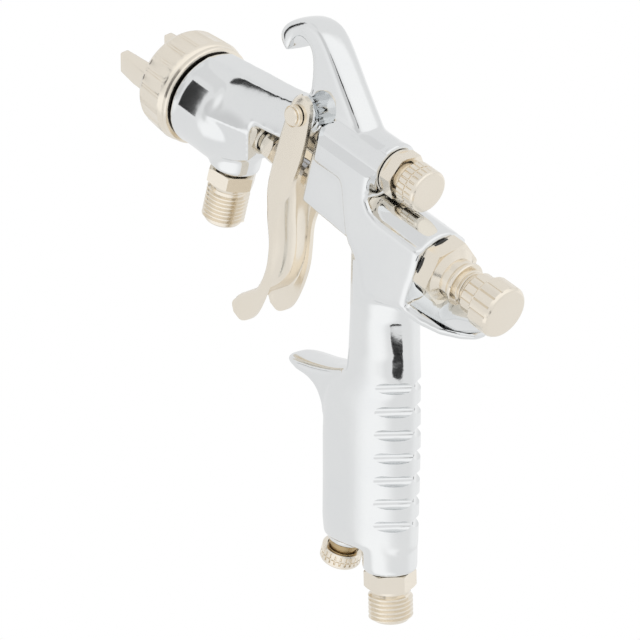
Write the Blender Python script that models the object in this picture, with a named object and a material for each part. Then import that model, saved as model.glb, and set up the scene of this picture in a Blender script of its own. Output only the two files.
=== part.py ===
"""Pistol-grip suction-feed spray gun, built as separate pieces.

Lengths here are millimetres in the gun's own frame and MM turns them into metres: X is the spray direction,
Y the gun's left, Z up, and the needle runs along X at y = z = 0. Objects are then placed so that the world's
origin is the crown of the hanging hook.
"""
import math
import bpy
import bmesh
from mathutils import Matrix, Vector

MM = 0.001
GAP = 0.3                 # between touching pieces
SLIP = 0.35               # round a piece that slides or turns
HOOK = Vector((-39.5, 0.0, 38.2))

RING_R = 16.3             # air cap ring
RING_BACK = -1.8
RING_END = 12.8
HEAD_R = RING_R - 0.7     # shoulder behind the ring
HEAD_BACK = -32.0
BOSS_R = RING_R - 3.7     # thread that carries the ring
BOSS_END = 7.5
CHAMBER_R = BOSS_R - 2.4  # air chamber in the head
CHAMBER_FLOOR = -2.5
CAP_R = BOSS_R - 1.6
CAP_FRONT = 15.0
HORN_TIP = 28.0
HORN_HALF = 3.4
HORN_TURN = math.radians(20.0)

NEEDLE_R = 1.25
NEEDLE_TAIL = -106.0
PACKING_R = 3.4
GLAND_END = HEAD_BACK - 5.0

NIPPLE_X = -19.0          # fluid nipple's axis, upright under the head
NIPPLE_SEAT = -18.5
THREAD_R = 6.58           # G 1/4 male thread on both nipples
NIPPLE_BORE = 3.6
FLUID_END = -33.0

NECK_HALF = 8.2           # half width of the neck and pads, between the trigger's cheeks
BLOCK_HALF = 9.8          # half width of the block behind the trigger
SHEET = 1.5
PIVOT = Vector((-48.7, 0.0, 19.3))
PIN_R = 2.0
PIN_HEAD_R = 3.25
CHEEK_OUT = NECK_HALF + GAP + SHEET
FINGER_HALF = 8.0

STEM_R = 2.5              # hollow air valve stem
STEM_FRONT = -45.4
STEM_BACK = -92.3
BLOCK_FRONT = -57.0
SEAT_X = -68.0
DISC_R = 5.6
CHAMBER2_R = 7.0          # air valve chamber, open at the back
TUBE_R = 10.2
TUBE_BACK = -105.0
GUARD_R = TUBE_R + 3.0    # hollow of the hand guard under the knob

GUIDE_FLANGE_R = 9.2
GUIDE_BORE = 4.2
GUIDE_NECK_R = 5.9
GUIDE_THREAD_R = 5.0
GUIDE_NECK_END = -115.5
GUIDE_END = -123.0
KNOB_R = 7.55
KNOB_FRONT = -119.0
KNOB_BACK = -131.5

PATTERN_Z = 17.4
PATTERN_SEAT = -81.3
PATTERN_R = 7.6
SPINDLE_R = 1.9
SMALL_GUIDE_R = 4.0
SMALL_NECK_R = 4.2
SMALL_KNOB_R = 6.35
PATTERN_KNOB_FRONT = -88.0
PATTERN_KNOB_BACK = -94.6

RAKE = math.radians(20.5)
AXIS_X = -81.7            # where the handle's air way meets the needle axis
FOOT = 96.0               # handle's foot, measured down the rake
INLET_SEAT = 103.0
INLET_END = 118.5
AIRWAY_R = 4.5

AIR_X = -98.4             # air adjuster's upright axis in the handle's toe
AIR_SEAT = -98.6
AIR_KNOB_R = 6.2
AIR_KNOB_TOP = -101.4
AIR_KNOB_END = -106.3

for old in list(bpy.data.objects):
    bpy.data.objects.remove(old, do_unlink=True)
for block in (bpy.data.collections, bpy.data.meshes, bpy.data.materials):
    for old in list(block):
        block.remove(old)
gun = bpy.data.collections.new("spray_gun")
cutters = bpy.data.collections.new("cutters")
bpy.context.scene.collection.children.link(gun)
bpy.context.scene.collection.children.link(cutters)


def material(name, colour, roughness, metallic):
    found = bpy.data.materials.new(name)
    found.use_nodes = True
    shader = found.node_tree.nodes["Principled BSDF"]
    shader.inputs["Base Color"].default_value = (*colour, 1.0)
    shader.inputs["Roughness"].default_value = roughness
    shader.inputs["Metallic"].default_value = metallic
    return found


CHROME = ((0.80, 0.82, 0.84), 0.12, 1.0)
NICKEL = ((0.78, 0.74, 0.66), 0.25, 1.0)
STEEL = ((0.70, 0.70, 0.70), 0.25, 1.0)
BRASS = ((0.75, 0.60, 0.32), 0.30, 1.0)
SEAL = ((0.05, 0.05, 0.05), 0.60, 0.0)
WHITE = ((0.85, 0.85, 0.82), 0.50, 0.0)


def turned(direction, point):
    """Matrix that sends the lathe's own Z to a direction through a point."""
    spin = Vector((0, 0, 1)).rotation_difference(Vector(direction)).to_matrix().to_4x4()
    return Matrix.Translation(Vector(point)) @ spin


def solid(name, verts, faces):
    mesh = bpy.data.meshes.new(name)
    mesh.from_pydata([Vector(v) * MM for v in verts], [], faces)
    build = bmesh.new()
    build.from_mesh(mesh)
    bmesh.ops.remove_doubles(build, verts=build.verts, dist=1e-7)
    bmesh.ops.recalc_face_normals(build, faces=build.faces)
    build.to_mesh(mesh)
    build.free()
    found = bpy.data.objects.new(name, mesh)
    cutters.objects.link(found)
    found.hide_render = True
    found.display_type = 'WIRE'
    return found


def lathe(name, profile, direction=(1, 0, 0), point=(0, 0, 0), steps=32, twist=0.0):
    """Turn (distance along, radius) pairs about a direction; a profile with no zero radius is a ring."""
    place = turned(direction, point)
    verts, faces, rows = [], [], []
    for along, radius in profile:
        row = []
        count = 1 if radius < 1e-6 else steps
        for k in range(count):
            angle = twist + 2 * math.pi * k / steps
            verts.append(place @ Vector((radius * math.cos(angle), radius * math.sin(angle), along)))
            row.append(len(verts) - 1)
        rows.append(row)
    pairs = list(zip(rows, rows[1:]))
    if len(rows[0]) > 1:
        pairs.append((rows[-1], rows[0]))
    for low, high in pairs:
        for k in range(steps):
            quad = [low[k % len(low)], low[(k + 1) % len(low)],
                    high[(k + 1) % len(high)], high[k % len(high)]]
            quad = list(dict.fromkeys(quad))
            if len(quad) > 2:
                faces.append(quad)
    return solid(name, verts, faces)


def rod(name, start, end, radius, direction=(1, 0, 0), point=(0, 0, 0), steps=24, twist=0.0):
    return lathe(name, [(start, 0), (start, radius), (end, radius), (end, 0)], direction, point, steps, twist)


def tube(name, start, end, outer, inner, direction=(1, 0, 0), point=(0, 0, 0), steps=24):
    return lathe(name, [(start, inner), (start, outer), (end, outer), (end, inner)], direction, point, steps)


def loft(name, rings):
    count = len(rings[0])
    verts = [v for ring in rings for v in ring]
    faces = [[count * r + k, count * r + (k + 1) % count,
              count * (r + 1) + (k + 1) % count, count * (r + 1) + k]
             for r in range(len(rings) - 1) for k in range(count)]
    faces.append(list(range(count)))
    faces.append(list(range(len(verts) - count, len(verts))))
    return solid(name, verts, faces)


def oval(a, b, power=2.8, count=28):
    """A rounded rectangle's outline with half sizes a and b."""
    out = []
    for k in range(count):
        c, s = math.cos(2 * math.pi * k / count), math.sin(2 * math.pi * k / count)
        out.append((math.copysign(abs(c) ** (2 / power), c) * a, math.copysign(abs(s) ** (2 / power), s) * b))
    return out


def curve_through(points, per=3):
    """Closed smooth outline through the points."""
    out, n = [], len(points)
    for i in range(n):
        p = [Vector(points[(i + k - 1) % n]) for k in range(4)]
        for j in range(per):
            t = j / per
            out.append(0.5 * (2 * p[1] + (p[2] - p[0]) * t + (2 * p[0] - 5 * p[1] + 4 * p[2] - p[3]) * t * t
                              + (3 * p[1] - p[0] - 3 * p[2] + p[3]) * t ** 3))
    return out


def plate(name, outline, half, rounding=0.0, put=lambda a, b, y: (a, y, b)):
    """A flat outline given thickness across Y, with its two rims rounded by shrinking end rings."""
    pts = [Vector(p) for p in outline]
    n = len(pts)
    area = sum(pts[i].x * pts[(i + 1) % n].y - pts[(i + 1) % n].x * pts[i].y for i in range(n))
    way = 1 if area > 0 else -1
    normals = []
    for i in range(n):
        d = (pts[(i + 1) % n] - pts[i - 1]).normalized()
        normals.append(Vector((d.y, -d.x)) * way)
    rings = []
    stops = [(-half, rounding), (half, rounding)]
    if rounding:
        lean = [(0.0, 1.0), (0.29, 0.29), (1.0, 0.0)]
        stops = [(-half + rounding * a, rounding * b) for a, b in lean]
        stops += [(half - rounding * a, rounding * b) for a, b in reversed(lean)]
    for y, inset in stops:
        rings.append([put(p.x - m.x * inset, p.y - m.y * inset, y) for p, m in zip(pts, normals)])
    return loft(name, rings)


def join(target, other, how='UNION', solver='EXACT'):
    cut = target.modifiers.new("cut", 'BOOLEAN')
    cut.operation, cut.solver, cut.object = how, solver, other
    shown = bpy.context.evaluated_depsgraph_get()
    shown.update()
    mesh = bpy.data.meshes.new_from_object(target.evaluated_get(shown))
    target.modifiers.clear()
    spare = target.data
    target.data = mesh
    bpy.data.meshes.remove(spare)
    build = bmesh.new()
    build.from_mesh(mesh)
    bmesh.ops.remove_doubles(build, verts=build.verts, dist=2e-6)
    bmesh.ops.dissolve_degenerate(build, edges=build.edges, dist=2e-6)
    build.to_mesh(mesh)
    build.free()
    return target


def cut(target, *others):
    for other in others:
        join(target, other, 'DIFFERENCE')
    return target


def finish(name, made, look, origin=(0, 0, 0)):
    """Name the piece, give it its own material and put its origin on its joint's axis."""
    made.name = made.data.name = name
    made.hide_render = False
    made.display_type = 'TEXTURED'
    cutters.objects.unlink(made)
    gun.objects.link(made)
    made.data.transform(Matrix.Translation(-Vector(origin) * MM))
    made.location = (Vector(origin) - HOOK) * MM
    made.data.materials.clear()
    made.data.materials.append(material(name, *look))
    return made


def grip(s, t, y=0.0):
    """A point of the handle: s forward of its air way, t down the rake."""
    return (AXIS_X + s * math.cos(RAKE) - t * math.sin(RAKE), y, -s * math.sin(RAKE) - t * math.cos(RAKE))


DOWN = (-math.sin(RAKE), 0.0, -math.cos(RAKE))
TOP = grip(0, 0)
FLUID = (0, 0, -1)

# Body: turned head, neck, hook, block, tubes, handle, spur, hand guard and bosses made one casting.
body = lathe("body", [(BOSS_END, 0), (BOSS_END, BOSS_R), (RING_BACK - GAP, BOSS_R),
                      (RING_BACK - GAP, HEAD_R), (RING_BACK - 2.1, HEAD_R), (-6.0, HEAD_R - 0.6),
                      (-10.3, HEAD_R - 1.4), (-16, HEAD_R - 2.6), (-24, HEAD_R - 4.4),
                      (HEAD_BACK + 1, 10.0), (HEAD_BACK, 9.2), (HEAD_BACK, 0)], steps=48)
neck = [(-5, -9, 15.0, 11.6), (-13, -8, 16.8, 12.4), (-21, -6, 18.2, 11.4), (-28, 1, 19.2, 10.2),
        (-34, 8.0, 20.2, 9.3), (-41, 8.6, 21.8, NECK_HALF), (-48, 8.4, 24.2, NECK_HALF),
        (-56, 7.4, 26.0, NECK_HALF), (-62, 6.0, 25.0, NECK_HALF)]
join(body, loft("neck", [[(x, y, (low + high) / 2 + z) for y, z in oval(half, (high - low) / 2)]
                         for x, low, high, half in neck]))
hook = [(-34.2, 31.8), (-30.8, 34.2), (-30.2, 37.4), (-32.6, 41.0), (-36.9, 43.7), (-41.5, 45.0),
        (-45.5, 44.6), (-49.5, 42.8), (-54.2, 39.7), (-60.2, 34.8), (-66.1, 29.9), (-71.8, 24.6),
        (-74.5, 19.0), (-70, 13), (-58, 12), (-49.0, 14), (-47.2, 21.0), (-46.8, 28.0), (-45.0, 34.0),
        (-42.5, 37.2), (-39.5, 38.2), (-37.0, 37.0), (-36.2, 34.0)]
join(body, plate("hook", curve_through(hook, 2), 5.0, 1.3))
block = [(BLOCK_FRONT, -2.6), (BLOCK_FRONT, 20.0), (-60, 24.6), (-70, 22.4), (-78, 20.0), (-82, 8.0),
         (-86, -6.0), (-76.4, -4.2)]
join(body, plate("block", block, NECK_HALF, 1.2))
# The block's flanks stand proud of the pads that the trigger's cheeks swing over.
flank = [(-58.6, 10.2), (-57.6, 15.0), (-56.4, 19.5), (-56.6, 23.0), (-58.6, 25.0), (-62.0, 24.6),
         (-70, 22.4), (-78, 20.4), (-80.4, 18.6), (-80.9, 13.0), (-81.5, 9.8), (-85.0, 7.0), (-90, 6.0),
         (-104.4, 6.2), (-104.4, -8.0), (-96.0, -9.0), (-86, -6.0), (-79.0, -5.2), (-76.8, -3.2),
         (-74.1, 2.4), (-71.1, 8.9), (-69.2, 10.3)]
join(body, plate("flank", flank, BLOCK_HALF, 0.9))
join(body, rod("needle_tube", -80, TUBE_BACK, TUBE_R, steps=40))
join(body, rod("pattern_tube", -60, PATTERN_SEAT, PATTERN_R, point=(0, 0, PATTERN_Z), steps=32))
handle = [(-1, 7.4, -15.6, 9.7), (12, 8.8, -13.6, 9.6), (26, 10.6, -10.8, 8.4), (37, 12.2, -10.9, 8.2),
          (46, 16.6, -11.1, 8.8), (54, 21.2, -11.0, 9.3), (64, 22.9, -10.7, 9.4), (78, 23.4, -9.9, 9.4),
          (90, 24.0, -9.2, 9.4), (FOOT - 1.2, 23.6, -8.9, 9.3), (FOOT, 22.4, -8.2, 8.2)]
join(body, loft("handle", [[grip((front + back) / 2 + s, t, y) for s, y in oval((front - back) / 2, half)]
                           for t, front, back, half in handle]))
spur = [(4, 42.0), (12.0, 42.4), (18.0, 43.6), (26.0, 44.0), (32.0, 43.8), (36.4, 43.6), (38.4, 44.6),
        (37.6, 46.2), (33.2, 47.6), (28.8, 49.1), (25.6, 50.9), (23.6, 53.2), (22.0, 56.4), (20.0, 61.0),
        (4, 60.0)]
join(body, plate("spur", curve_through(spur, 2), 6.4, 1.1, lambda s, t, y: grip(s, t, y)))
guard = [(-92, -17.0, -8.0, 8.8), (-101, -15.8, -10.2, 8.9), (-110, -15.7, -10.4, 8.6),
         (-117, -14.8, -10.3, 7.4), (-122.6, -13.2, -9.8, 5.0), (-126, -11.6, -9.4, 2.6)]
join(body, loft("guard", [[(x, y, (low + high) / 2 + z) for y, z in oval(half, (high - low) / 2, 2.6)]
                          for x, low, high, half in guard]))
join(body, lathe("fluid_boss", [(0, 0), (0, 8.0), (-NIPPLE_SEAT - 5.5, 8.0), (-NIPPLE_SEAT - 5.0, 8.6),
                                (-NIPPLE_SEAT, 8.6), (-NIPPLE_SEAT, 0)], FLUID, (NIPPLE_X, 0, 0)))
join(body, rod("inlet_boss", 86, INLET_SEAT, 8.2, DOWN, TOP, 32))
join(body, rod("air_boss", 76, -AIR_SEAT, 5.8, (0, 0, -1), (AIR_X, 0, 0), 28))
# Bores for what runs inside; each is a clearance larger than its piece.
cut(body,
    rod("b1", 12, CHAMBER_FLOOR, CHAMBER_R, steps=32),
    rod("b2", 0, -14, 5.0 + GAP, steps=24),
    rod("b3", -10, HEAD_BACK + 5.0, 2.6, steps=20),
    rod("b4", HEAD_BACK + 6.0, HEAD_BACK - 2, PACKING_R + GAP, steps=20),
    rod("b5", 11, -NIPPLE_SEAT + 3, 5.3, FLUID, (NIPPLE_X, 0, 0)),
    rod("b6", 0.4, 14, 2.9, FLUID, (NIPPLE_X, 0, 0), 20),
    rod("b7", -20, 20, PIN_R + GAP, (0, 1, 0), PIVOT, 20),
    rod("b8", BLOCK_FRONT + 6, -63, 4.2 + GAP, steps=20),
    rod("b9", -60, SEAT_X - 2, STEM_R + 0.6, steps=20),
    rod("b10", SEAT_X, TUBE_BACK - 4, CHAMBER2_R, steps=32),
    rod("b11", -70, PATTERN_SEAT - 2, SMALL_GUIDE_R + GAP, point=(0, 0, PATTERN_Z), steps=20),
    rod("b12", -54.5, -72, SPINDLE_R + 0.8, point=(0, 0, PATTERN_Z - 0.013), steps=20),
    rod("b13", 2, 92, AIRWAY_R, DOWN, TOP),
    rod("b14", 91, INLET_SEAT + 2, 5.3, DOWN, TOP),
    rod("b15", 88, -AIR_SEAT + 2, SMALL_GUIDE_R + GAP, (0, 0, -1), (AIR_X, 0, 0), 20),
    rod("b16", 52, 90, SPINDLE_R + 0.8, (0, 0, -1), (AIR_X, 0, 0), 20),
    lathe("dish", [(TUBE_BACK, 0), (TUBE_BACK, GUARD_R), (-118, GUARD_R), (-124.4, GUARD_R - 2.8), (-134, 0)],
          steps=48))
duct_start = Vector((-58.0, 0, 15.4))
duct = Vector((-1.0, 0, 8.2)) - duct_start
cut(body, rod("b17", 0, duct.length, 1.5, duct.normalized(), duct_start, 12))
finish("gun_body", body, CHROME)

# Air cap, ring, nozzle and gasket in the head.
ring = lathe("ring", [(RING_BACK, BOSS_R + SLIP), (RING_BACK, RING_R - 1.0),
                      (RING_BACK + 0.6, RING_R - 0.3), (RING_BACK + 2.6, RING_R - 0.3),
                      (RING_BACK + 3.0, RING_R), (RING_END - 2.2, RING_R),
                      (RING_END - 0.7, RING_R - 0.9), (RING_END, RING_R - 2.6), (RING_END, CAP_R + SLIP),
                      (RING_END - 1.8, CAP_R + SLIP), (RING_END - 1.8, BOSS_R + SLIP)], steps=48)
finish("air_cap_ring", ring, NICKEL)
cap = lathe("cap", [(BOSS_END + GAP, 8.6), (BOSS_END + GAP, BOSS_R - 0.2),
                    (RING_END - 1.8 - GAP, BOSS_R - 0.2), (RING_END - 1.8 - GAP, CAP_R), (13.6, CAP_R),
                    (14.5, CAP_R - 1.4), (CAP_FRONT, 5.0),
                    (CAP_FRONT, 2.2), (CAP_FRONT - 1.4, 2.2), (CAP_FRONT - 3.4, 5.0)], steps=40)
horn_cos, horn_sin = math.cos(HORN_TURN), math.sin(HORN_TURN)
for side in (1, -1):
    horn = [(12.4, 5.2 * side), (12.4, (CAP_R - 0.2) * side), (HORN_TIP - 8, (CAP_R - 0.2) * side),
            (HORN_TIP, (CAP_R - 1.6) * side), (HORN_TIP, (CAP_R - 3.4) * side), (HORN_TIP - 7.5, 6.2 * side)]
    join(cap, plate("horn", horn, HORN_HALF, 0.6,
                    lambda x, y, z: (x, y * horn_cos + z * horn_sin, z * horn_cos - y * horn_sin)))
finish("air_cap", cap, NICKEL)
floor = CHAMBER_FLOOR + 0.8 + 2 * GAP
nozzle = lathe("nozzle", [(-12, 2.2), (-12, 5.0), (CHAMBER_FLOOR + GAP, 5.0), (floor, 5.0),
                          (floor, CHAMBER_R - 2.0), (floor + 2.4, CHAMBER_R - 2.0), (floor + 2.6, 5.6),
                          (8.0, 4.4), (12.6, 2.0), (CAP_FRONT - 0.2, 1.7), (CAP_FRONT - 0.2, 1.0),
                          (12.0, 1.7), (8.0, 2.2)], steps=28)
finish("fluid_nozzle", nozzle, STEEL)
finish("nozzle_gasket", tube("gasket", CHAMBER_FLOOR + GAP, CHAMBER_FLOOR + GAP + 0.8, CHAMBER_R - 2.2,
                             5.0 + GAP), WHITE)

# Fluid nipple under the head, with a chamfered hexagon and a ridged thread.


def ridged(start, end, radius, depth, pitch):
    """Profile of a thread drawn as ridges, from start to end."""
    out, at = [(start, radius - depth)], start + 0.3
    while at + pitch < end - 0.6:
        out += [(at, radius - depth), (at + pitch * 0.4, radius), (at + pitch * 0.6, radius)]
        at += pitch
    return out + [(end - 0.8, radius - depth), (end, radius - depth - 0.5)]


def nipple(name, seat, end, plug, direction, point):
    """Plug below the seat, hexagon collar, then the male thread and a bore right through."""
    made = lathe(name, [(seat - plug, NIPPLE_BORE - 0.6), (seat - plug, 4.9), (seat + 0.6 + 2 * GAP, 4.9),
                        (seat + 0.6 + 2 * GAP, 6.0), (seat + 4.6, 6.0)]
                 + ridged(seat + 4.9, end, THREAD_R, 0.85, 1.337) + [(end, NIPPLE_BORE)]
                 + [(seat + 4.6, NIPPLE_BORE - 0.6)], direction, point, 28)
    hexagon = lathe("hexagon", [(seat + 0.6 + 2 * GAP, NIPPLE_BORE - 0.3), (seat + 0.6 + 2 * GAP, 7.1),
                                (seat + 1.6, 7.6), (seat + 3.9, 7.6), (seat + 4.6, 7.0),
                                (seat + 4.6, NIPPLE_BORE - 0.3)], direction, point, 6, 0.3)
    return join(made, hexagon)


finish("fluid_nipple", nipple("n1", -NIPPLE_SEAT, -FLUID_END, 6.5, FLUID, (NIPPLE_X, 0, 0)), NICKEL)
finish("fluid_nipple_gasket", tube("g1", -NIPPLE_SEAT + GAP, -NIPPLE_SEAT + GAP + 0.6, 6.6, 4.9 + GAP,
                                   FLUID, (NIPPLE_X, 0, 0)), SEAL)
finish("air_nipple", nipple("n2", INLET_SEAT, INLET_END, 9.5, DOWN, TOP), NICKEL)
finish("air_nipple_gasket", tube("g2", INLET_SEAT + GAP, INLET_SEAT + GAP + 0.6, 6.6, 4.9 + GAP,
                                 DOWN, TOP), SEAL)

# Needle with its packing, gland nut and collar.
needle = lathe("needle", [(CAP_FRONT - 1.0, 0), (CAP_FRONT - 1.0, 0.35), (9.6, NEEDLE_R),
                          (NEEDLE_TAIL, NEEDLE_R), (NEEDLE_TAIL, 0)], steps=16)
finish("fluid_needle", needle, STEEL)
finish("needle_packing", tube("packing", HEAD_BACK + 5.7, HEAD_BACK + 2.4, PACKING_R, NEEDLE_R + GAP,
                              steps=20), WHITE)
gland = lathe("gland", [(HEAD_BACK + 2.1, NEEDLE_R + GAP), (HEAD_BACK + 2.1, PACKING_R),
                        (HEAD_BACK - GAP, PACKING_R), (HEAD_BACK - GAP, 4.4), (GLAND_END, 4.4),
                        (GLAND_END, NEEDLE_R + GAP)], steps=20)
join(gland, lathe("hexagon", [(HEAD_BACK - GAP, 3.0), (HEAD_BACK - GAP, 5.2), (GLAND_END + 0.8, 5.2),
                              (GLAND_END + 0.2, 4.5), (GLAND_END + 0.2, 3.0)], steps=6, twist=0.4))
finish("packing_gland_nut", gland, NICKEL)
finish("needle_collar", tube("collar", -93.6, -97.0, 3.4, NEEDLE_R + 0.02, steps=20), BRASS)

# Trigger: pressed channel; its width eases from the cheeks to the finger part.
front = [(-48.6, 25.9), (-46.6, 24.6), (-44.9, 21.5), (-43.8, 14.0), (-43.2, 4.4), (-43.0, -4.4),
         (-44.2, -11.0), (-45.7, -17.5), (-48.1, -25.0), (-48.7, -32.0), (-47.0, -39.0), (-42.8, -43.6),
         (-39.8, -46.4), (-38.8, -48.8)]
back = [(-50.6, 25.9), (-52.9, 24.6), (-54.0, 21.0), (-54.4, 13.0), (-54.0, 4.4), (-52.7, -4.5),
        (-50.6, -11.6), (-49.9, -18.4), (-51.4, -26.0), (-52.3, -33.0), (-51.2, -41.4), (-48.4, -48.6),
        (-44.2, -52.4), (-40.4, -51.6)]


def waist(z):
    """Half width of the trigger at a height."""
    ease = min(1.0, max(0.0, (z + 24.0) / 18.0))
    ease = ease * ease * (3 - 2 * ease)
    return FINGER_HALF + (CHEEK_OUT - FINGER_HALF) * ease


def eased(points, per=3):
    """Open smooth line through the points."""
    ends = [2 * Vector(points[0]) - Vector(points[1])] + points
    ends.append(2 * Vector(points[-1]) - Vector(points[-2]))
    closed = curve_through(ends, per)
    return closed[per:(len(ends) - 2) * per + 1]


def channel(name, lead, trail, thin):
    """Rings of four corners between a front line and a back line, at the trigger's width less a thickness."""
    return loft(name, [[(a[0], waist(a[1]) - thin, a[1]), (b[0], waist(b[1]) - thin, b[1]),
                        (b[0], thin - waist(b[1]), b[1]), (a[0], thin - waist(a[1]), a[1])]
                       for a, b in zip(lead, trail)])


trigger = channel("trigger", eased(front), eased(back), 0.0)
inner = eased(front)[12:31]
lead = [(-36.0, 30.0), (-36.0, 4.5), (inner[0][0] - SHEET, 4.4)] + [(x - SHEET - 0.1, z) for x, z in inner[1:]]
lead.append((lead[-1][0] + 0.6, -43.0))
trail = [(-62.0, z) for x, z in lead]
cut(trigger, channel("deep", lead, trail, SHEET), rod("slot", -60, -38, NEEDLE_R + 1.05, steps=16),
    rod("pin", -20, 20, PIN_R + SLIP, (0, 1, 0), PIVOT, 20))
finish("trigger", trigger, NICKEL, PIVOT)
outside = CHEEK_OUT + GAP
stud = lathe("stud", [(outside + 1.9, 0), (outside + 1.9, 2.6), (outside + 1.4, PIN_HEAD_R),
                      (outside, PIN_HEAD_R), (outside, PIN_R), (-outside, PIN_R), (-outside, 1.3), (-3, 1.3),
                      (-3, 0)], (0, 1, 0), PIVOT, 24)
finish("trigger_pivot_stud", stud, NICKEL)
screw = lathe("screw", [(-outside - GAP - 1.9, 0), (-outside - GAP - 1.9, 2.6),
                        (-outside - GAP - 1.4, PIN_HEAD_R), (-outside - GAP, PIN_HEAD_R),
                        (-outside - GAP, 1.0), (-4, 1.0), (-4, 0)],
              (0, 1, 0), PIVOT, 24)
finish("trigger_pivot_screw", screw, NICKEL)

# Air valve: hollow stem, disc, gland nut, packing and spring.
finish("air_valve_stem", tube("stem", STEM_FRONT, STEM_BACK, STEM_R, NEEDLE_R + SLIP, steps=20), STEEL)
finish("air_valve_disc", tube("disc", SEAT_X - GAP, SEAT_X - 3.2, DISC_R, STEM_R + 0.02), WHITE)
nut = lathe("nut", [(-51.4, STEM_R + SLIP), (-51.4, 4.6), (-52.0, 5.3), (BLOCK_FRONT + GAP, 5.3),
                    (BLOCK_FRONT + GAP, 4.2), (-60.2, 4.2), (-60.2, STEM_R + SLIP)], steps=24)
finish("air_valve_gland", nut, NICKEL)
finish("air_valve_packing", tube("seal", -60.5, -62.7, 4.2, STEM_R + SLIP, steps=20), WHITE)


def coil(name, start, end, radius, wire, turns):
    """Round wire wound about the needle, with 8-sided wire and capped ends."""
    steps = int(turns * 12)
    rings = []
    for k in range(steps + 1):
        angle = 2 * math.pi * turns * k / steps
        x = start + (end - start) * k / steps
        out = Vector((0, math.cos(angle), math.sin(angle)))
        rings.append([Vector((x + wire * math.sin(a), 0, 0)) + out * (radius + wire * math.cos(a))
                      for a in (2 * math.pi * m / 6 for m in range(6))])
    return loft(name, rings)


finish("air_valve_spring", coil("s1", SEAT_X - 4.1, -92.2, 4.9, 0.45, 7.5), STEEL)
finish("needle_spring", coil("s2", -98.0, -124.0, 2.7, 0.4, 9), STEEL)

# Fluid adjuster: guide, gasket, knob and the seat that the needle spring pushes on.
guide = lathe("guide", [(-93.0, GUIDE_BORE), (-93.0, CHAMBER2_R - GAP),
                        (TUBE_BACK - 0.6 - 2 * GAP, CHAMBER2_R - GAP),
                        (TUBE_BACK - 0.6 - 2 * GAP, 8.4), (TUBE_BACK - 5.0, 8.2),
                        (TUBE_BACK - 5.4, GUIDE_NECK_R), (GUIDE_NECK_END, GUIDE_NECK_R)]
              + [(-a, r) for a, r in ridged(-GUIDE_NECK_END, -GUIDE_END, GUIDE_THREAD_R, 0.5, 1.0)]
              + [(GUIDE_END, GUIDE_BORE - 0.1)], steps=32)
hexagon = lathe("hexagon", [(TUBE_BACK - 0.6 - 2 * GAP, 7.0), (TUBE_BACK - 0.6 - 2 * GAP, GUIDE_FLANGE_R),
                            (TUBE_BACK - 3.8, GUIDE_FLANGE_R), (TUBE_BACK - 4.6, GUIDE_FLANGE_R - 1.0),
                            (TUBE_BACK - 4.6, 7.0)], steps=6, twist=0.25)
finish("fluid_guide", join(guide, hexagon), NICKEL)
finish("fluid_guide_gasket", tube("g3", TUBE_BACK - GAP, TUBE_BACK - GAP - 0.6, 8.8, CHAMBER2_R), SEAL)
knob = lathe("knob", [(KNOB_FRONT, GUIDE_THREAD_R + SLIP), (KNOB_FRONT, KNOB_R - 1.4),
                      (KNOB_FRONT - 4.6, KNOB_R - 1.3), (KNOB_FRONT - 5.2, KNOB_R), (KNOB_BACK + 1.0, KNOB_R),
                      (KNOB_BACK, KNOB_R - 0.9), (KNOB_BACK, 0), (KNOB_BACK + 3.2, 0),
                      (KNOB_BACK + 3.2, GUIDE_THREAD_R + SLIP)], steps=40)
finish("fluid_knob", knob, NICKEL)
seat = lathe("seat", [(KNOB_BACK + 3.5, 0), (KNOB_BACK + 3.5, GUIDE_BORE - 0.5), (-125.2, GUIDE_BORE - 0.5),
                      (-125.2, 2.1), (-123.0, 1.9), (-123.0, 0)], steps=20)
finish("fluid_spring_seat", seat, BRASS)


# Pattern adjuster on the tube and air adjuster in the handle's toe: like guides, spindles, rings and knobs.


def small_valve(tag, seat, head, end, inside, radius, direction, point):
    """Build one needle valve along a direction; distances grow outwards from the casting."""
    base = seat + GAP
    body_end = head - 2.0 if head - seat > 4 else head - 0.8
    made = lathe("g", [(seat - 8.5, SPINDLE_R + SLIP), (seat - 8.5, SMALL_GUIDE_R), (base, SMALL_GUIDE_R),
                       (base, 5.8), (body_end, 5.8), (body_end, SMALL_NECK_R), (head + 1.2, SMALL_NECK_R),
                       (head + 1.2, SPINDLE_R + SLIP)], direction, point, 24)
    if body_end - base > 2:
        join(made, lathe("h", [(base, 5.0), (base, 6.4), (base + 0.5, 6.9), (body_end - 0.7, 6.9),
                               (body_end, 6.1), (body_end, 5.0)], direction, point, 6, math.pi / 6))
    finish(tag + "_guide", made, NICKEL)
    spindle = lathe("s", [(inside, 0), (inside, 0.5), (inside + 5, SPINDLE_R - 0.3),
                          (seat - 15.0, SPINDLE_R - 0.3), (seat - 15.0, SPINDLE_R), (end - 2.1, SPINDLE_R),
                          (end - 2.1, 0)], direction, point, 16)
    finish(tag + "_spindle", spindle, BRASS)
    finish(tag + "_ring", tube("o", seat - 12.6, seat - 13.8, SPINDLE_R + 0.7, SPINDLE_R + 0.02,
                               direction, point, 20), SEAL)
    cap_in = end - 2.4
    made = lathe("k", [(head, SMALL_NECK_R + SLIP), (head, radius - 0.4), (head + 0.4, radius),
                       (end - 0.7, radius), (end, radius - 0.7), (end, 1.5), (end - 1.2, 1.5),
                       (end - 1.2, SPINDLE_R + 0.02),
                       (cap_in, SPINDLE_R + 0.02), (cap_in, SMALL_NECK_R + SLIP)], direction, point, 40)
    finish(tag + "_knob", made, NICKEL)
    finish(tag + "_knob_screw", rod("c", end - 1.15, end - 0.2, 1.3, direction, point, 16), STEEL)


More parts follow.
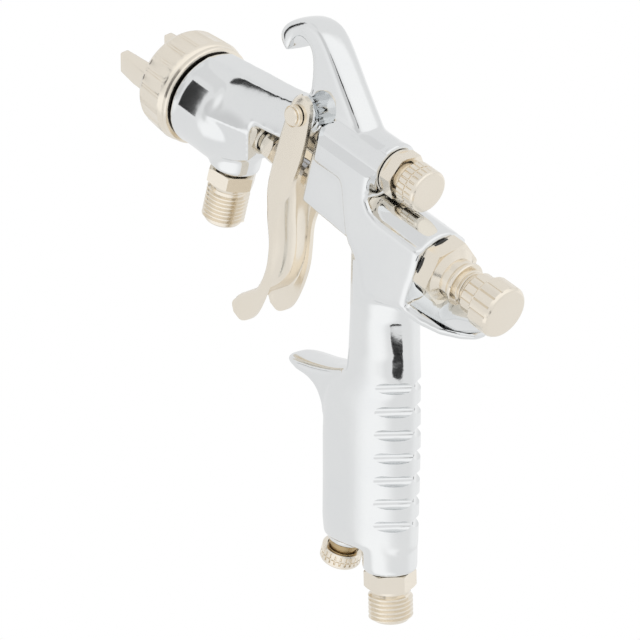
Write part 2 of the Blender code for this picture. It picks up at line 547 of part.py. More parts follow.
small_valve("pattern", -PATTERN_SEAT, -PATTERN_KNOB_FRONT, -PATTERN_KNOB_BACK, 58.0, SMALL_KNOB_R,
            (-1, 0, 0), (0, 0, PATTERN_Z))
small_valve("air", -AIR_SEAT, -AIR_KNOB_TOP, -AIR_KNOB_END, 74.0, AIR_KNOB_R, (0, 0, -1), (AIR_X, 0, 0))

# Turning pieces keep their origins on their axes.
for name, axis in (("air_cap", (0, 0, 0)), ("air_cap_ring", (0, 0, 0)), ("fluid_knob", (KNOB_BACK, 0, 0)),
                   ("pattern_knob", (PATTERN_KNOB_BACK, 0, PATTERN_Z)),
                   ("air_knob", (AIR_X, 0, AIR_KNOB_END))):
    piece = bpy.data.objects[name]
    here = (Vector(axis) - HOOK) * MM
    piece.data.transform(Matrix.Translation(piece.location - here))
    piece.location = here

for spare in list(cutters.objects):
    bpy.data.objects.remove(spare, do_unlink=True)
bpy.context.view_layer.update()
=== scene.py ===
import math
import bpy
import bmesh
from mathutils import Matrix, Vector


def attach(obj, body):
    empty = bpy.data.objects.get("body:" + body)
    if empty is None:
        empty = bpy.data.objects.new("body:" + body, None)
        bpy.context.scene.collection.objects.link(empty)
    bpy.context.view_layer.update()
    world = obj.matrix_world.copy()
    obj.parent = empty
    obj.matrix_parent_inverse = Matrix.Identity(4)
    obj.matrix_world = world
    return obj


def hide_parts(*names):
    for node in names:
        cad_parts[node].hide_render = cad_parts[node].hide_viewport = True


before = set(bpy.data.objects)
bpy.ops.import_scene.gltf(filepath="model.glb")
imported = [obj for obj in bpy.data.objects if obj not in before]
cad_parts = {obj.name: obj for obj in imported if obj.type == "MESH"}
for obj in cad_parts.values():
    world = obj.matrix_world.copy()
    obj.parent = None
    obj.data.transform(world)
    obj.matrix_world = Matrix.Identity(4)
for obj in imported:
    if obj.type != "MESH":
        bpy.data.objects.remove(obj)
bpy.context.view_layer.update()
view = bpy.context.scene

# The gun's body: one zinc die casting of head, neck, hanging hook, valve block, handle, spur and hand guard,
# polished and chrome plated. Its forms are modelled closed, in millimetres from a point on the needle's line, melted
# into one skin with cast fillets, and then bored and grooved as a machinist would.
HOOK_CROWN = Vector((-39.5, 0.0, 38.2))
RAKE = math.radians(20.5)
RAKE_DOWN = Vector((-math.sin(RAKE), 0.0, -math.cos(RAKE)))
RAKE_TOP = Vector((-81.7, 0.0, 0.0))
ALONG, ACROSS, UP = Vector((1, 0, 0)), Vector((0, 1, 0)), Vector((0, 0, 1))
PIVOT = Vector((-48.7, 0.0, 19.3))
PATTERN_LINE = Vector((0.0, 0.0, 17.4))
TOE_LINE = Vector((-98.4, 0.0, 0.0))
FLUID_LINE = Vector((-19.0, 0.0, 0.0))
CHROME = (0.875, 0.885, 0.88)


def grip(forward, down, side=0.0):
    """A point of the handle, forward of its air way and down its rake."""
    return RAKE_TOP + Vector((forward * math.cos(RAKE), side, -forward * math.sin(RAKE))) + RAKE_DOWN * down


def spun(shape, outline, along=ALONG, at=(0, 0, 0), steps=64, turn=0.0):
    """Spin (distance, radius) pairs once round a line; an outline that never meets the line closes on itself."""
    place = Matrix.Translation(at) @ UP.rotation_difference(Vector(along)).to_matrix().to_4x4()
    place = place @ Matrix.Rotation(turn, 4, 'Z')
    line = [shape.verts.new(place @ Vector((radius, 0, distance))) for distance, radius in outline]
    pairs = list(zip(line, line[1:]))
    if outline[0][1] > 0.001:
        pairs.append((line[-1], line[0]))
    edges = [shape.edges.new(pair) for pair in pairs]
    bmesh.ops.spin(shape, geom=line + edges, cent=Vector(at), axis=Vector(along), angle=2 * math.pi, steps=steps,
                   use_merge=True)
    bmesh.ops.remove_doubles(shape, verts=shape.verts, dist=0.0005)
    return shape


def drawn(shape, rings):
    """Bridge closed rings of points one after another and close both ends."""
    loops = []
    for ring in rings:
        points = [shape.verts.new(Vector(p)) for p in ring]
        loops.append((points, [shape.edges.new((a, b)) for a, b in zip(points, points[1:] + points[:1])]))
    for (_, low), (_, high) in zip(loops, loops[1:]):
        bmesh.ops.bridge_loops(shape, edges=low + high)
    shape.faces.new(loops[0][0])
    shape.faces.new(loops[-1][0])
    return shape


def oval(length, width, fullness, count=48):
    """Half sizes and fullness of a rounded section; 2 is an ellipse and more is squarer."""
    ring = []
    for k in range(count):
        c, s = math.cos(2 * math.pi * k / count), math.sin(2 * math.pi * k / count)
        ring.append((math.copysign(abs(c) ** (2 / fullness), c) * length,
                     math.copysign(abs(s) ** (2 / fullness), s) * width))
    return ring


def flowing(points, per=4, closed=True):
    """A smooth line through points, closed or open."""
    points = [Vector(p) for p in points]
    if not closed:
        points = [2 * points[0] - points[1]] + points + [2 * points[-1] - points[-2]]
    line, n = [], len(points)
    for i in range(n):
        a, b, c, d = (points[(i + k - 1) % n] for k in range(4))
        for j in range(per):
            t = j / per
            line.append(0.5 * (2 * b + (c - a) * t + (2 * a - 5 * b + 4 * c - d) * t * t
                               + (3 * b - a - 3 * c + d) * t ** 3))
    return line if closed else line[per:(n - 2) * per + 1]


def slab(shape, outline, half, rim=0.0):
    """Push a flat outline to both sides of the middle plane and bevel its two rims."""
    base = shape.faces.new([shape.verts.new((a, -half, b)) for a, b in outline])
    top = bmesh.ops.extrude_face_region(shape, geom=[base])["geom"]
    bmesh.ops.translate(shape, verts=[g for g in top if isinstance(g, bmesh.types.BMVert)], vec=ACROSS * 2 * half)
    if rim:
        cap = [g for g in top if isinstance(g, bmesh.types.BMFace)][0]
        bmesh.ops.bevel(shape, geom=list(base.edges) + list(cap.edges), offset=rim, segments=3, profile=0.5,
                        affect='EDGES', material=-1, clamp_overlap=True)
    return shape


def ended(shape):
    """Merge doubles and turn the faces outwards."""
    bmesh.ops.remove_doubles(shape, verts=shape.verts, dist=0.0005)
    bmesh.ops.recalc_face_normals(shape, faces=shape.faces)
    return shape


def spare(shape):
    """A scratch object for a modifier to use."""
    mesh = bpy.data.meshes.new("spare")
    ended(shape).to_mesh(mesh)
    shape.free()
    made = bpy.data.objects.new("spare", mesh)
    view.collection.objects.link(made)
    return made


def settled(made):
    """What the object's modifiers give, as a new bmesh; the scratch object goes."""
    shown = bpy.context.evaluated_depsgraph_get()
    mesh = bpy.data.meshes.new_from_object(made.evaluated_get(shown))
    shape = bmesh.new()
    shape.from_mesh(mesh)
    bpy.data.objects.remove(made, do_unlink=True)
    bpy.data.meshes.remove(mesh)
    return shape


def carved(shape, cutters, how='DIFFERENCE', solver='MANIFOLD'):
    """Cut the shape with each cutter in turn."""
    made, tools = spare(shape), [spare(cutter) for cutter in cutters]
    for tool in tools:
        cut = made.modifiers.new("cut", 'BOOLEAN')
        cut.operation, cut.solver, cut.object = how, solver, tool
    shape = settled(made)
    for tool in tools:
        bpy.data.objects.remove(tool, do_unlink=True)
    return shape


def placed(name, shape, look, body, nodes, crease=32.0):
    """Put the finished piece in the shared frame, in metres, with its finish and body, and hide the CAD nodes it
    replaces.
    """
    bmesh.ops.transform(shape, verts=shape.verts,
                        matrix=Matrix.Scale(0.001, 4) @ Matrix.Translation(-HOOK_CROWN))
    mesh = bpy.data.meshes.new(name)
    shape.to_mesh(mesh)
    shape.free()
    mesh.polygons.foreach_set("use_smooth", [True] * len(mesh.polygons))
    mesh.set_sharp_from_angle(angle=math.radians(crease))
    mesh.materials.append(look)
    made = bpy.data.objects.new(name, mesh)
    view.collection.objects.link(made)
    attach(made, body)
    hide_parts(*nodes)
    return made


class Flow:
    """A shader socket that takes part in Python sums."""

    def __init__(self, tree, socket):
        self.tree, self.socket = tree, socket

    def node(self, kind, out=0, settings=(), **values):
        made = self.tree.nodes.new(kind)
        for key, value in dict(settings).items():
            setattr(made, key, value)
        for key, value in values.items():
            spot = made.inputs[int(key[1:])] if key[1:].isdigit() else made.inputs[key.replace("_", " ")]
            if isinstance(value, Flow):
                self.tree.links.new(value.socket, spot)
            else:
                spot.default_value = value
        return Flow(self.tree, made.outputs[out])

    def maths(self, operation, a, b):
        return self.node("ShaderNodeMath", settings={"operation": operation}, s0=a, s1=b)

    def __add__(self, other):
        return self.maths('ADD', self, other)

    def __radd__(self, other):
        return self.maths('ADD', other, self)

    def __sub__(self, other):
        return self.maths('SUBTRACT', self, other)

    def __rsub__(self, other):
        return self.maths('SUBTRACT', other, self)

    def __mul__(self, other):
        return self.maths('MULTIPLY', self, other)

    def __rmul__(self, other):
        return self.maths('MULTIPLY', other, self)


def plated(name, colour, tarnish, shine, haze, pits=0.000004, shaded_gaps=()):
    """Bright plate: a clouded tint, wiping haze in the gloss, fine hairlines, a faint cast ripple and painted shade in
    gaps.
    """
    look = bpy.data.materials.new(name)
    look.use_nodes = True
    tree = look.node_tree
    shader = tree.nodes["Principled BSDF"]
    shader.inputs["Metallic"].default_value = 1.0
    start = Flow(tree, None)
    here = start.node("ShaderNodeTexCoord", out=3)
    cloud = start.node("ShaderNodeTexNoise", Vector=here, Scale=70.0, Detail=3.0, Roughness=0.55)
    speck = start.node("ShaderNodeTexNoise", Vector=here, Scale=900.0, Detail=2.0, Roughness=0.6)
    stretched = start.node("ShaderNodeMapping", Vector=here, Scale=(300.0, 300.0, 2600.0))
    hair = start.node("ShaderNodeTexNoise", Vector=stretched, Scale=1.0, Detail=2.0)
    tint = start.node("ShaderNodeMix", out=2, settings={"data_type": 'RGBA'},
                      s0=0.75 * cloud + 0.25 * speck, s6=(*colour, 1.0), s7=(*tarnish, 1.0))
    # Inside each listed gap the base colour turns near-black: this is painted shade for the recess between parts.
    if shaded_gaps:
        apart = start.node("ShaderNodeSeparateXYZ", Vector=here).socket.node
        along, side, high = (Flow(tree, apart.outputs[k]) for k in range(3))
        gap_shade = 0.0
        for low, end, axis, reach in shaded_gaps:
            off = high - axis
            gap_shade = gap_shade + (start.maths('GREATER_THAN', along, low) * start.maths('LESS_THAN', along, end)
                           * start.maths('LESS_THAN', side * side + off * off, reach * reach))
        tint = start.node("ShaderNodeMix", out=2, settings={"data_type": 'RGBA'}, s0=gap_shade, s6=tint,
                          s7=(0.02, 0.02, 0.02, 1.0))
    tree.links.new(tint.socket, shader.inputs["Base Color"])
    gloss = shine + haze * cloud + 0.5 * haze * hair
    tree.links.new(gloss.socket, shader.inputs["Roughness"])
    bump = start.node("ShaderNodeBump", Strength=0.35, Distance=pits, Height=speck + 0.6 * hair)
    tree.links.new(bump.socket, shader.inputs["Normal"])
    return look


def roofed(rows):
    """Cross sections with a flat top strip, two tilted sides and a narrower foot, finely spaced along the neck."""
    rings = []
    for x, low, high, strip, middle, wide, shoulder, foot in flowing(rows, 6, False):
        corners = [Vector((strip, high)), Vector((middle, 9.0)), Vector((wide, shoulder)), Vector((foot, low))]
        half = [a.lerp(b, k / 8) for a, b in zip(corners, corners[1:]) for k in range(8)] + corners[-1:]
        rings.append([Vector((x, y, z)) for y, z in half] + [Vector((x, -y, z)) for y, z in reversed(half)])
    return rings


body_form = bmesh.new()
spun(body_form, [(7.5, 0), (7.5, 12.6), (-2.5, 12.6), (-2.5, 14.7), (-2.8, 15.0), (-3.5, 15.0), (-3.8, 14.6),
                 (-9, 14.6), (-15, 14.6), (-17, 14.2), (-20, 12.8), (-24, 10.3), (-28, 7.4), (-30.5, 5.0), (-30.5, 0)],
     steps=144)
drawn(body_form, roofed([
    (-2.8, -5.0, 14.7, 4.5, 10.3, 10.6, 8.6, 8.0), (-9.0, -8.0, 15.4, 4.5, 10.9, 12.1, 7.8, 10.0),
    (-15.3, -9.6, 16.1, 4.5, 10.4, 13.9, 4.6, 9.0), (-19.0, -9.4, 16.6, 4.5, 10.0, 13.3, 4.0, 8.6),
    (-23.0, -8.8, 17.0, 4.5, 9.7, 12.2, 4.0, 8.2), (-27.0, -7.4, 17.4, 4.5, 9.5, 11.1, 4.2, 7.8),
    (-31.5, -5.2, 17.9, 4.5, 9.3, 9.9, 4.6, 7.4)]))
drawn(body_form, roofed([
    (-24.0, 6.4, 17.0, 4.4, 9.5, 9.4, 8.0, 8.8), (-31.5, 7.0, 17.9, 4.5, 9.3, 9.2, 8.2, 8.6),
    (-37.0, 7.6, 18.8, 4.5, 8.8, 8.7, 8.5, 8.2), (-42.0, 8.2, 19.8, 4.5, 8.2, 8.15, 8.8, 7.6),
    (-45.5, 8.4, 20.6, 4.5, 7.7, 7.6, 8.9, 7.0), (-48.5, 8.4, 21.6, 4.6, 5.6, 5.6, 8.9, 5.2),
    (-51.0, 8.2, 22.4, 4.6, 4.8, 4.8, 8.8, 4.6), (-60.0, 7.0, 23.0, 4.5, 4.6, 4.6, 8.0, 4.5)]))
spun(body_form, [(-8.3, 0), (-8.3, 5.0), (-8.0, 5.3), (8.0, 5.3), (8.3, 5.0), (8.3, 0)], ACROSS, PIVOT)
HOOK = [(-34.2, 31.8, 0.4), (-30.9, 33.9, 0.5), (-30.3, 37.2, 0.6), (-32.6, 40.8, 0.9), (-36.9, 43.5, 1.1),
        (-41.5, 44.6, 1.5), (-45.5, 44.3, 1.9), (-49.5, 42.6, 2.6), (-54.2, 39.4, 3.5), (-60.2, 34.4, 4.1),
        (-66.1, 29.4, 4.3), (-71.8, 24.2, 4.0), (-74.5, 19.0, 2.0), (-70, 13, 0.4), (-58, 12, 0.4), (-49.0, 14, 0.4),
        (-47.2, 21.0, 0.4), (-46.5, 28.0, 0.4), (-45.0, 33.8, 0.4), (-42.8, 37.0, 0.4), (-39.5, 38.2, 0.4),
        (-36.9, 37.6, 0.4), (-35.3, 35.2, 0.4)]
HOOK_HALF, HOOK_PER = 5.0, 4
hook_outline = flowing([(x, z) for x, z, _ in HOOK], HOOK_PER)
hook_rings = []
for side in (-5.0, -4.9, -4.6, -4.0, -2.5, 0.0, 2.5, 4.0, 4.6, 4.9, 5.0):
    ring = []
    for k, spot in enumerate(hook_outline):
        run = (hook_outline[(k + 1) % len(hook_outline)] - hook_outline[k - 1]).normalized()
        near, far = HOOK[k // HOOK_PER][2], HOOK[(k // HOOK_PER + 1) % len(HOOK)][2]
        crown = near + (far - near) * (k % HOOK_PER) / HOOK_PER
        sink = crown * (1 - math.sqrt(1 - (side / HOOK_HALF) ** 2))
        spot = spot - Vector((run.y, -run.x)) * sink
        ring.append((spot.x, side, spot.y))
    hook_rings.append(ring)
drawn(body_form, hook_rings)
slab(body_form, [(-56.4, -4.4), (-55.9, 8.0), (-56.4, 20.0), (-60, 22.0), (-70, 21.0), (-78, 19.0), (-80, 8.0),
                 (-86, -7.0), (-76.0, -5.6)], 8.3, 1.0)
slab(body_form, [(-58.6, 10.2), (-58.4, 20.4), (-80.3, 20.4), (-80.8, 13), (-81.5, 9.8), (-84.0, 7.4), (-87.5, 6.3),
                 (-104.5, 6.2), (-104.5, -12.4), (-97, -15.4), (-89, -17.0), (-84, -9.0), (-79.0, -5.8),
                 (-76.8, -3.2), (-74.1, 2.4), (-71.1, 8.9), (-69.2, 10.3)], 9.8, 0.5)
TUBE_FLAT, PATTERN_RADIUS = 9.7, 7.5
drawn(body_form, [[Vector((x, min(TUBE_FLAT, max(-TUBE_FLAT, y)), z)) for y, z in oval(radius, radius, 2, 96)]
                  for x, radius in ((-80, 10.2), (-104.4, 10.2), (-105, 9.7))])
spun(body_form, [(-60, 0), (-60, PATTERN_RADIUS), (-79.4, PATTERN_RADIUS), (-79.7, 7.85), (-81.0, 7.85),
                 (-81.3, PATTERN_RADIUS), (-81.3, 0)], at=PATTERN_LINE, steps=80)
handle_rings = [(-1, 7.2, -15.6, 9.7), (12, 8.0, -13.6, 9.6), (26, 9.6, -10.8, 8.5), (37, 11.0, -10.9, 8.2),
                (42.5, 11.8, -11.0, 8.5), (45.5, 15.2, -11.1, 8.8), (48.5, 20.2, -11.1, 9.0), (53, 22.0, -11.0, 9.3),
                (64, 22.9, -10.7, 9.4), (78, 23.4, -9.9, 9.4),
                (90, 24.0, -9.2, 9.4), (94.8, 23.6, -8.9, 9.3), (96, 22.4, -8.2, 8.2)]
drawn(body_form, [[grip((front + back) / 2 + s, t, y)
                   for s, y in [a if a[0] > 0 else b for a, b in zip(oval((front - back) / 2, half, 2.8),
                                                                     oval((front - back) / 2, half, 2.2))]]
                  for t, front, back, half in handle_rings])
SPUR = flowing([(4, 42.0), (12, 42.4), (18, 43.4), (26, 43.8), (32, 43.6), (36.4, 43.5), (38.4, 44.4), (37.6, 45.7),
                (33.2, 46.9), (28.8, 48.3), (25.6, 50.2), (23.4, 52.8), (21.6, 56.4), (19.4, 61), (4, 60)])
SPUR_HALF, SPUR_ROOT = 6.4, 20
spur_rings = []
for side in (-6.4, -6.2, -5.6, -4.6, -2.6, 0.0, 2.6, 4.6, 5.6, 6.2, 6.4):
    lean = abs(side) / SPUR_HALF
    droop = 0.24 * (1 - math.sqrt(1 - lean * lean))
    spur_rings.append([grip(s if s < SPUR_ROOT else SPUR_ROOT + (s - SPUR_ROOT) * (1 - 0.34 * lean ** 4),
                            t + (52.0 - t) * droop + 0.35 * (1 - lean) * (t < 46), side) for s, t in SPUR])
drawn(body_form, spur_rings)
guard_rings = [(-92, -17.0, -8.0, 8.8), (-101, -15.8, -10.2, 8.9), (-110, -15.7, -10.4, 8.6),
               (-117, -14.8, -10.2, 7.4), (-122.6, -13.2, -9.7, 5.0), (-126, -11.6, -9.2, 2.6)]
drawn(body_form, [[Vector((x, y, (low + high) / 2 + z)) for y, z in oval(half, (high - low) / 2, 2.6)]
                  for x, low, high, half in guard_rings])
spun(body_form, [(0, 0), (0, 8.0), (9.0, 7.8), (14.0, 7.7), (14.5, 7.2), (14.5, 0)], -UP, FLUID_LINE)
spun(body_form, [(80, 0), (80, 8.2), (96, 8.2), (102.4, 8.0), (103, 7.5), (103, 0)], RAKE_DOWN, RAKE_TOP)
spun(body_form, [(76, 0), (76, 5.8), (98.2, 5.8), (98.6, 5.4), (98.6, 0)], -UP, TOE_LINE)
VOXEL, PASSES = 0.52, 5
melted = spare(body_form)
melt = melted.modifiers.new("melt", 'REMESH')
melt.mode, melt.voxel_size, melt.adaptivity = 'VOXEL', VOXEL, 0.0
casting = settled(melted)
for _ in range(PASSES):
    hollow = [v for v in casting.verts if (sum((e.other_vert(v).co for e in v.link_edges), Vector())
                                           / len(v.link_edges) - v.co).dot(v.normal) > 0.01]
    bmesh.ops.smooth_vert(casting, verts=hollow, factor=0.8, use_axis_x=True, use_axis_y=True, use_axis_z=True)
    casting.normal_update()
for _ in range(PASSES):
    bmesh.ops.smooth_vert(casting, verts=casting.verts, factor=0.5, use_axis_x=True, use_axis_y=True, use_axis_z=True)


def bore(start, end, radius, along=ALONG, at=(0, 0, 0)):
    """A plain drill along a line."""
    return spun(bmesh.new(), [(start, 0), (start, radius), (end, radius), (end, 0)], along, at, 48)


AIR_DUCT = Vector((-58.0, 0, 15.4))
duct_run = Vector((-1.0, 0, 8.2)) - AIR_DUCT
drills = [bore(12, -2.5, 10.2), bore(0, -14, 5.3), bore(-10, -27, 2.6), bore(-26, -34, 3.7),
          bore(11, 21.5, 5.3, -UP, FLUID_LINE), bore(0.4, 14, 2.9, -UP, FLUID_LINE),
          bore(-20, 20, 2.3, ACROSS, PIVOT), bore(-51, -63, 4.5), bore(-60, -70, 3.1), bore(-68, -109, 7.0),
          bore(-70, -84, 4.3, ALONG, PATTERN_LINE), bore(-60, -72, 2.7, ALONG, PATTERN_LINE),
          bore(2, 92, 4.5, RAKE_DOWN, RAKE_TOP), bore(91, 105, 5.3, RAKE_DOWN, RAKE_TOP),
          bore(88, 100.6, 4.3, -UP, TOE_LINE), bore(52, 90, 2.7, -UP, TOE_LINE),
          bore(0, duct_run.length, 1.5, duct_run.normalized(), AIR_DUCT)]
POCKET = Vector((-53.9, 0, 23.4))
ROOF = ((9.85, 15.7), (5.05, 20.2), (5.05, 32), (14, 32), (14, 15.7))
GROOVES, GROOVE_TOP, GROOVE_PITCH, GROOVE_RADIUS = 7, 45.4, 6.95, 1.6
for side in (1, -1):
    roof = drawn(bmesh.new(), [[(x, y * side, z) for y, z in ROOF] for x in (-57.6, -81.2)])
    drills.append(carved(roof, [bore(-57, -83, PATTERN_RADIUS + 0.05, ALONG, PATTERN_LINE)]))
    drills.append(carved(bore(1.3 * side, 13 * side, 5.1, ACROSS, POCKET), [bore(0, 14 * side, 5.4, ACROSS, PIVOT)]))
    for down in [GROOVE_TOP + GROOVE_PITCH * k for k in range(GROOVES)]:
        ease = 0.045 * (down - 46)
        near, far = grip(-10.6 + ease, down, 1.4 * side), grip(-4.5 + ease, down, 7.8 * side)
        line = (far - near).normalized()
        out = line.cross(RAKE_DOWN).normalized()
        out = out if out.y * side > 0 else -out
        drills.append(bore(-4, (far - near).length + 4, GROOVE_RADIUS, line, near + out * 1.3))
drills.append(spun(bmesh.new(), [(-105, 0), (-105, 13.3), (-118, 13.3), (-124.6, 10.6), (-134, 0)], steps=96))
casting = carved(casting, drills)
# The gap behind the air cap ring, where painted near-black shade goes, in metres: from, to, axis height and reach.
RING_GAP_SHADE = (0.0365, 0.0395, -0.0382, 0.0149)
body_look = plated("chrome_casting", CHROME, (0.80, 0.815, 0.83), 0.035, 0.05, shaded_gaps=[RING_GAP_SHADE])
placed("body_casting", casting, body_look, "gun", ["gun_body"])

# Air cap: a turned nickel-plated brass dome with two flat-sided horns that shape the spray into a fan.
# It drops into the front of the head over the nozzle.
NICKEL = (0.905, 0.85, 0.755)
TARNISH = (0.86, 0.79, 0.68)
nickel = plated("nickel_plate", NICKEL, TARNISH, 0.10, 0.10)
HORN_TURN = math.radians(13)
HORN_WAY = Vector((0, math.cos(HORN_TURN), -math.sin(HORN_TURN)))
HORN_SIDE = ALONG.cross(HORN_WAY)
cap = spun(bmesh.new(), [(7.8, 8.6), (7.8, 12.4), (10.7, 12.4), (10.7, 11.0), (13.4, 11.0), (14.1, 10.4), (14.6, 9.0),
                         (15.0, 5.4), (15.0, 2.2), (13.6, 2.2), (11.6, 5.0)], steps=96)
horns = [slab(bmesh.new(), [(13.0, 5.4), (13.0, 10.8), (21.0, 10.8), (28.7, 9.8), (29.0, 9.2), (29.0, 7.2),
                            (28.6, 6.8), (21.0, 6.0)], 3.5, 0.45) for _ in (1, -1)]
for horn, side in zip(horns, (1, -1)):
    bmesh.ops.transform(horn, verts=horn.verts,
                        matrix=Matrix((ALONG, HORN_SIDE * side, HORN_WAY * side)).transposed().to_4x4())
cap = carved(cap, horns, 'UNION')
AIR_HOLES = []
for side in (1, -1):
    for out in (18.5, 22.5):
        AIR_HOLES.append(bore(-3, 4, 0.65, ALONG * 0.45 - HORN_WAY * side, ALONG * out + HORN_WAY * 7.0 * side))
    for up in (1, -1):
        AIR_HOLES.append(bore(-4, 4, 0.5, ALONG, ALONG * 15 + HORN_WAY * 3.6 * side + HORN_SIDE * 3.0 * up))
cap = carved(cap, AIR_HOLES)
placed("air_cap_dome", cap, nickel, "air_cap", ["air_cap"])

# Air cap ring: a nickel-plated nut that screws on the head and holds the air cap.
# Its rim has broad flats between pairs of narrow grooves for the fingers, and a smooth bead at the back.
PANELS, STEPS_EACH, RING_RADIUS = 20, 12, 16.5
ring = spun(bmesh.new(), [(-1.8, 12.95), (-1.8, 15.2), (-1.6, 15.7), (-1.2, 16.0), (-0.5, 16.0), (-0.2, 15.75),
                          (0.1, 15.75), (0.4, 16.1), (1.0, 16.4), (1.6, 16.6), (2.0, 16.7), (6.0, 16.45),
                          (10.2, 16.1), (10.7, 15.95), (11.5, 15.5), (12.2, 14.8), (12.7, 13.8),
                          (12.8, 13.2), (12.8, 11.35), (11.0, 11.35), (11.0, 12.95)], steps=PANELS * STEPS_EACH)
for point in ring.verts:
    if 1.9 < point.co.x < 10.3 and math.hypot(point.co.y, point.co.z) > 15:
        turn = math.atan2(point.co.z, point.co.y) / (2 * math.pi) * PANELS
        place = round((turn % 1.0) * STEPS_EACH) % STEPS_EACH
        scale = 1.0
        if place in (0, 2):
            scale = 1 - 0.3 / RING_RADIUS
        elif 3 < place < 11:
            scale = math.cos(math.pi / PANELS) / math.cos((place - 7) / STEPS_EACH * 2 * math.pi / PANELS)
        point.co.y, point.co.z = point.co.y * scale, point.co.z * scale
placed("air_cap_ring_nut", ended(ring), nickel, "air_cap_ring", ["air_cap_ring"], 24.0)

# Fluid nozzle: a turned steel tip that the needle closes.
# It is screwed into the head behind the air cap, on a white gasket.
ground = plated("ground_steel", (0.68, 0.68, 0.69), (0.58, 0.58, 0.60), 0.16, 0.12)
nozzle = spun(bmesh.new(), [(-12, 2.2), (-12, 5.0), (-2.2, 5.0), (-1.1, 5.0), (-1.1, 8.2), (1.3, 8.2), (1.5, 5.6),
                            (8.0, 4.4), (12.6, 2.0), (14.8, 1.7), (14.8, 1.0), (12.0, 1.7), (8.0, 2.2)])
placed("nozzle_tip", ended(nozzle), ground, "gun", ["fluid_nozzle"])

# Fluid and air nipples: nickel-plated brass with a chamfered hexagon and a male quarter-inch gas thread.
# One hangs under the head for the paint, the other at the handle's foot for the air hose.
THREAD_RADIUS, THREAD_PITCH = 6.58, 1.337


def spanner(start, end, corner, along, at, turn, chamfer=0.9):
    """A hexagon with both its faces chamfered round, as a lathe leaves it."""
    flats = spun(bmesh.new(), [(start, 0), (start, corner), (end, corner), (end, 0)], along, at, 6, turn)
    fall, over = chamfer * 0.55, corner + 0.05
    turned = spun(bmesh.new(), [(start - 0.001, 0), (start - 0.001, corner - chamfer), (start + fall, over),
                                (end - fall, over), (end + 0.001, corner - chamfer), (end + 0.001, 0)], along, at, 96)
    return carved(flats, [turned], 'INTERSECT')


def thread(shape, start, end, radius, depth, pitch, along, at):
    """Wind a tooth's closed section up the line in one helix."""
    place = Matrix.Translation(at) @ UP.rotation_difference(Vector(along)).to_matrix().to_4x4()
    tooth = [(-0.52, -depth - 0.25), (-0.40, -depth), (-0.10, 0), (0.10, 0), (0.40, -depth), (0.52, -depth - 0.25)]
    line = [shape.verts.new(place @ Vector((radius + r, 0, start + z * pitch))) for z, r in tooth]
    edges = [shape.edges.new(pair) for pair in zip(line, line[1:] + line[:1])]
    shape.faces.new(line)
    turns = (end - start) / pitch
    steps = int(turns * 40)
    made = bmesh.ops.spin(shape, geom=line + edges, cent=Vector(at), axis=Vector(along), angle=2 * math.pi * turns,
                          steps=steps, dvec=Vector(along) * ((end - start) / steps))
    shape.faces.new([g for g in made["geom_last"] if isinstance(g, bmesh.types.BMVert)])
    return shape


def added(shape, other):
    """Put another finished shape's faces in the same piece."""
    mesh = bpy.data.meshes.new("spare")
    ended(other).to_mesh(mesh)
    other.free()
    shape.from_mesh(mesh)
    bpy.data.meshes.remove(mesh)
    return shape


def nipple(seat, end, plug, along, at, turn, gap):
    """Plug, hexagon, smooth neck, thread and a bore right through."""
    core = THREAD_RADIUS - 0.86
    shape = spun(bmesh.new(), [(seat - plug, 3.0), (seat - plug, 4.9), (seat + 0.7, 4.9), (seat + 0.8, 6.2),
                               (seat + 5.4, 6.2), (seat + 6.6, 6.0), (seat + 7.0, core), (end - 0.6, core),
                               (end, core - 0.5), (end, 3.9), (end - 0.5, 3.6)], along, at, 72)
    ended(shape)
    added(shape, carved(spanner(seat + gap, seat + 5.4, 7.75, along, at, turn, 0.8),
                        [bore(seat - 1, seat + 7, 4.0, along, at)]))
    added(shape, thread(bmesh.new(), seat + 7.4, end - 0.9, THREAD_RADIUS, 0.82, THREAD_PITCH, along, at))
    return shape


placed("fluid_nipple_thread", nipple(14.5, 33.0, 2.5, -UP, FLUID_LINE, 0.35, 0.75), nickel, "gun",
       ["fluid_nipple"])
placed("air_nipple_thread", nipple(103.0, 118.5, 9.5, RAKE_DOWN, RAKE_TOP, 0.2, 0.2), nickel, "gun",
       ["air_nipple"])

# Needle with its packing gland: a ground steel rod that runs the whole length of the gun,
# and the small nickel hexagon behind the head that squeezes its packing.
needle = spun(bmesh.new(), [(14.0, 0), (14.0, 0.35), (9.6, 1.25), (-105.6, 1.25), (-106.0, 0.9), (-106.0, 0)],
              steps=32)
placed("needle_rod", ended(needle), ground, "needle", ["fluid_needle"])
gland = ended(spun(bmesh.new(), [(-29.9, 1.55), (-29.9, 3.4), (-32.3, 3.4), (-32.3, 4.4), (-33.4, 4.4), (-33.6, 4.0),
                                 (-37.0, 4.0), (-37.0, 1.55)], steps=48))
added(gland, carved(spanner(-36.8, -33.5, 5.2, ALONG, (0, 0, 0), 0.2, 0.6), [bore(-40, -30, 3.0)]))
placed("packing_nut", gland, nickel, "gun", ["packing_gland_nut"])

# Trigger: one piece of steel sheet pressed into a channel, with two cheeks on the pivot and a curled finger tip.
# A stiffening bead runs down its web; it is nickel plated.
SHEET, TIP_HALF, CHEEK_HALF = 1.4, 8.0, 10.0
lead = flowing([(-48.4, 25.9), (-46.3, 24.6), (-44.5, 21.5), (-43.3, 14.0), (-42.7, 4.4), (-42.5, -4.4),
                (-43.6, -11.0), (-45.1, -17.5), (-47.5, -25.0), (-48.2, -32.0), (-46.5, -39.0), (-42.2, -43.6),
                (-39.2, -46.4), (-38.0, -48.8)], 5, False)
trail = flowing([(-50.6, 25.9), (-52.9, 24.6), (-54.0, 21.0), (-54.4, 13.0), (-54.0, 4.4), (-52.3, -4.5),
                 (-49.6, -11.6), (-48.7, -18.4), (-50.4, -26.0), (-51.4, -33.0), (-50.6, -41.4), (-48.4, -48.6),
                 (-44.2, -52.4), (-40.2, -51.8)], 5, False)
pressed = bmesh.new()
rows = []
